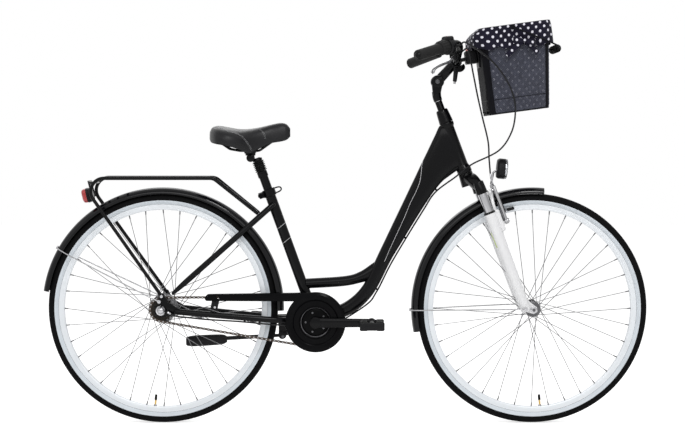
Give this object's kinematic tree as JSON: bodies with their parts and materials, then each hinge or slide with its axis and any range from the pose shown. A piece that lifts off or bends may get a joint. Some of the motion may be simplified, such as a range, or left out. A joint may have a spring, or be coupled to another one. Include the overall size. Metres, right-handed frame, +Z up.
{
  "type": "city bike",
  "caption": "City bike with a low step-through frame, sprung fork and seatpost, rear rack, mudguards, chain case and a lined handlebar basket",
  "frame": {"origin": "on the ground, in the middle of the bounding box", "axes": "+X forward, +Y to the rider's left, +Z up"},
  "size_m": [1.845, 0.6072, 1.2235],
  "materials": {
    "frame_paint": "satin charcoal black paint",
    "guard_gloss": "gloss black",
    "stay_wire": "bright steel wire",
    "tail_lens": "clear red plastic",
    "black_plastic": "matte black plastic",
    "axle_steel": "plated steel",
    "chain_steel": "brownish oiled steel",
    "rubber": "matte black rubber",
    "saddle_cover": "soft black vinyl",
    "silver_alloy": "satin silver",
    "tyre_rubber": "black rubber with a light band on the sidewall",
    "fork_white": "gloss white",
    "basket_metal": "black coated mesh",
    "liner_cloth": "navy cloth with pale dots",
    "button_red": "red plastic"
  },
  "bodies": {
    "frame": {"head_tube": "frame_paint", "down_tube": "frame_paint", "seat_tube": "frame_paint", "bottom_bracket": "frame_paint", "cross_tube": "frame_paint", "chainstay_right": "frame_paint", "chainstay_left": "frame_paint", "seatstay_right": "frame_paint", "seatstay_left": "frame_paint", "seat_clamp": "frame_paint", "rear_mudguard": "guard_gloss", "rear_mudguard_stays": "stay_wire", "rear_rack": "frame_paint", "tail_light": "tail_lens", "chain_case": "black_plastic", "chain": "chain_steel", "rear_axle": "axle_steel", "gear_cable": "rubber"},
    "seat_lever": {"seat_lever": "frame_paint"},
    "seatpost": {"seatpost": "frame_paint", "seatpost_bellows": "rubber"},
    "piston": {"seatpost_piston": "frame_paint"},
    "saddle": {"saddle_rails": "frame_paint", "saddle": "saddle_cover"},
    "steering": {"fork_crown": "frame_paint", "stem_quill": "frame_paint", "front_brake_cable": "rubber"},
    "handlebar": {"stem_arm": "frame_paint", "handlebar": "frame_paint", "grip_right": "rubber", "grip_left": "rubber", "shifter_housing": "black_plastic", "brake_lever_mount": "black_plastic", "bell": "frame_paint", "basket_mount": "black_plastic"},
    "twist_grip": {"twist_grip": "rubber"},
    "brake_lever": {"brake_lever": "silver_alloy"},
    "basket": {"basket": "basket_metal", "basket_liner": "liner_cloth"},
    "basket_handle": {"basket_handle": "black_plastic"},
    "basket_button": {"basket_button": "button_red"},
    "fork_lowers": {"fork_lowers": "fork_white", "front_mudguard": "guard_gloss", "front_mudguard_stays": "stay_wire", "headlight": "black_plastic"},
    "brake_arm_right": {"brake_arm_right": "silver_alloy"},
    "brake_arm_left": {"brake_arm_left": "silver_alloy"},
    "front_wheel": {"front_tyre": "tyre_rubber", "front_rim": "silver_alloy", "front_hub": "silver_alloy"},
    "rear_wheel": {"rear_tyre": "tyre_rubber", "rear_rim": "silver_alloy", "rear_hub": "silver_alloy"},
    "sprocket": {"sprocket": "chain_steel"},
    "crank": {"crank_right": "frame_paint", "crank_left": "frame_paint", "chainring": "frame_paint"},
    "pedal_right": {"pedal_right": "rubber"},
    "pedal_left": {"pedal_left": "rubber"},
    "kickstand": {"kickstand": "black_plastic"}
  },
  "joints": [
    {"name": "steering", "type": "hinge", "parent": "frame", "child": "steering", "pos_m": [0.36587, 0, 0.76515], "axis": [-0.3535, 0, 0.9354], "range_deg": [-70, 70], "deforming": ["gear_cable"]},
    {"name": "stem_angle", "type": "hinge", "parent": "steering", "child": "handlebar", "pos_m": [0.28047, 0, 1.04236], "axis": [0, 1, 0], "range_deg": [-15, 15], "deforming": ["front_brake_cable"]},
    {"name": "shifter_twist", "type": "hinge", "parent": "handlebar", "child": "twist_grip", "pos_m": [0.27283, -0.2165, 1.13216], "axis": [-0.6203, -0.7528, -0.2203], "range_deg": [0, 75]},
    {"name": "brake_lever_pull", "type": "hinge", "parent": "handlebar", "child": "brake_lever", "pos_m": [0.31885, -0.16066, 1.10954], "axis": [-0.7717, 0.636, 0], "range_deg": [0, 16], "stiffness_Nm_per_rad": 2, "springref_deg": -17.19},
    {"name": "brake_arm_right_swing", "type": "hinge", "parent": "fork_lowers", "child": "brake_arm_right", "pos_m": [0.48925, -0.04, 0.62042], "axis": [0.9354, 0, 0.3535], "range_deg": [-3.5, 0]},
    {"name": "brake_arm_left_swing", "type": "hinge", "parent": "fork_lowers", "child": "brake_arm_left", "pos_m": [0.48925, 0.04, 0.62042], "axis": [0.9354, 0, 0.3535], "range_deg": [0, 3.5]},
    {"name": "basket_lift", "type": "slide", "parent": "handlebar", "child": "basket", "axis": [-0.1305, 0, 0.9914], "range_m": [0, 0.05]},
    {"name": "basket_button_press", "type": "slide", "parent": "handlebar", "child": "basket_button", "axis": [0.1305, 0, -0.9914], "range_m": [0, 0.003], "stiffness_N_per_m": 600, "springref_m": -0.002},
    {"name": "basket_handle_swing", "type": "hinge", "parent": "basket", "child": "basket_handle", "pos_m": [0.49374, 0, 1.19882], "axis": [0, -1, 0], "range_deg": [0, 115]},
    {"name": "fork_travel", "type": "slide", "parent": "steering", "child": "fork_lowers", "axis": [-0.3535, 0, 0.9354], "range_m": [0, 0.04], "stiffness_N_per_m": 9000, "springref_m": -0.015},
    {"name": "front_wheel_spin", "type": "hinge", "parent": "fork_lowers", "child": "front_wheel", "pos_m": [0.57122, 0, 0.351], "axis": [0, 1, 0], "continuous": true},
    {"name": "rear_wheel_spin", "type": "hinge", "parent": "frame", "child": "rear_wheel", "pos_m": [-0.55678, 0, 0.351], "axis": [0, 1, 0], "continuous": true},
    {"name": "crank_spin", "type": "hinge", "parent": "frame", "child": "crank", "pos_m": [-0.09021, 0, 0.3125], "axis": [0, 1, 0], "continuous": true},
    {"name": "pedal_right_spin", "type": "hinge", "parent": "crank", "child": "pedal_right", "pos_m": [0.07979, 0, 0.3125], "axis": [0, 1, 0], "continuous": true},
    {"name": "pedal_left_spin", "type": "hinge", "parent": "crank", "child": "pedal_left", "pos_m": [-0.26021, 0, 0.3125], "axis": [0, 1, 0], "continuous": true},
    {"name": "sprocket_spin", "type": "hinge", "parent": "frame", "child": "sprocket", "pos_m": [-0.55678, 0, 0.351], "axis": [0, 1, 0], "continuous": true},
    {"name": "kickstand_swing", "type": "hinge", "parent": "frame", "child": "kickstand", "pos_m": [-0.19421, 0.049, 0.2625], "axis": [0.1612, -0.9453, -0.2834], "range_deg": [0, 107]},
    {"name": "seatpost_height", "type": "slide", "parent": "frame", "child": "seatpost", "axis": [-0.3396, 0, 0.9406], "range_m": [-0.035, 0.08]},
    {"name": "seatpost_travel", "type": "slide", "parent": "seatpost", "child": "piston", "axis": [0.3396, 0, -0.9406], "range_m": [0, 0.025], "stiffness_N_per_m": 12000, "springref_m": -0.01, "deforming": ["seatpost_bellows"]},
    {"name": "saddle_tilt", "type": "hinge", "parent": "piston", "child": "saddle", "pos_m": [-0.2882, 0, 0.81088], "axis": [0, 1, 0], "range_deg": [-8, 8]},
    {"name": "seat_lever_swing", "type": "hinge", "parent": "frame", "child": "seat_lever", "pos_m": [-0.2572, 0.0235, 0.69556], "axis": [-0.3396, 0, 0.9406], "range_deg": [0, 120]}
  ],
  "couplings": [
    {"joint": "brake_arm_right_swing", "follows": "brake_lever_pull", "ratio": -0.214},
    {"joint": "brake_arm_left_swing", "follows": "brake_lever_pull", "ratio": 0.214},
    {"joint": "sprocket_spin", "follows": "crank_spin", "ratio": 2.1111}
  ]
}
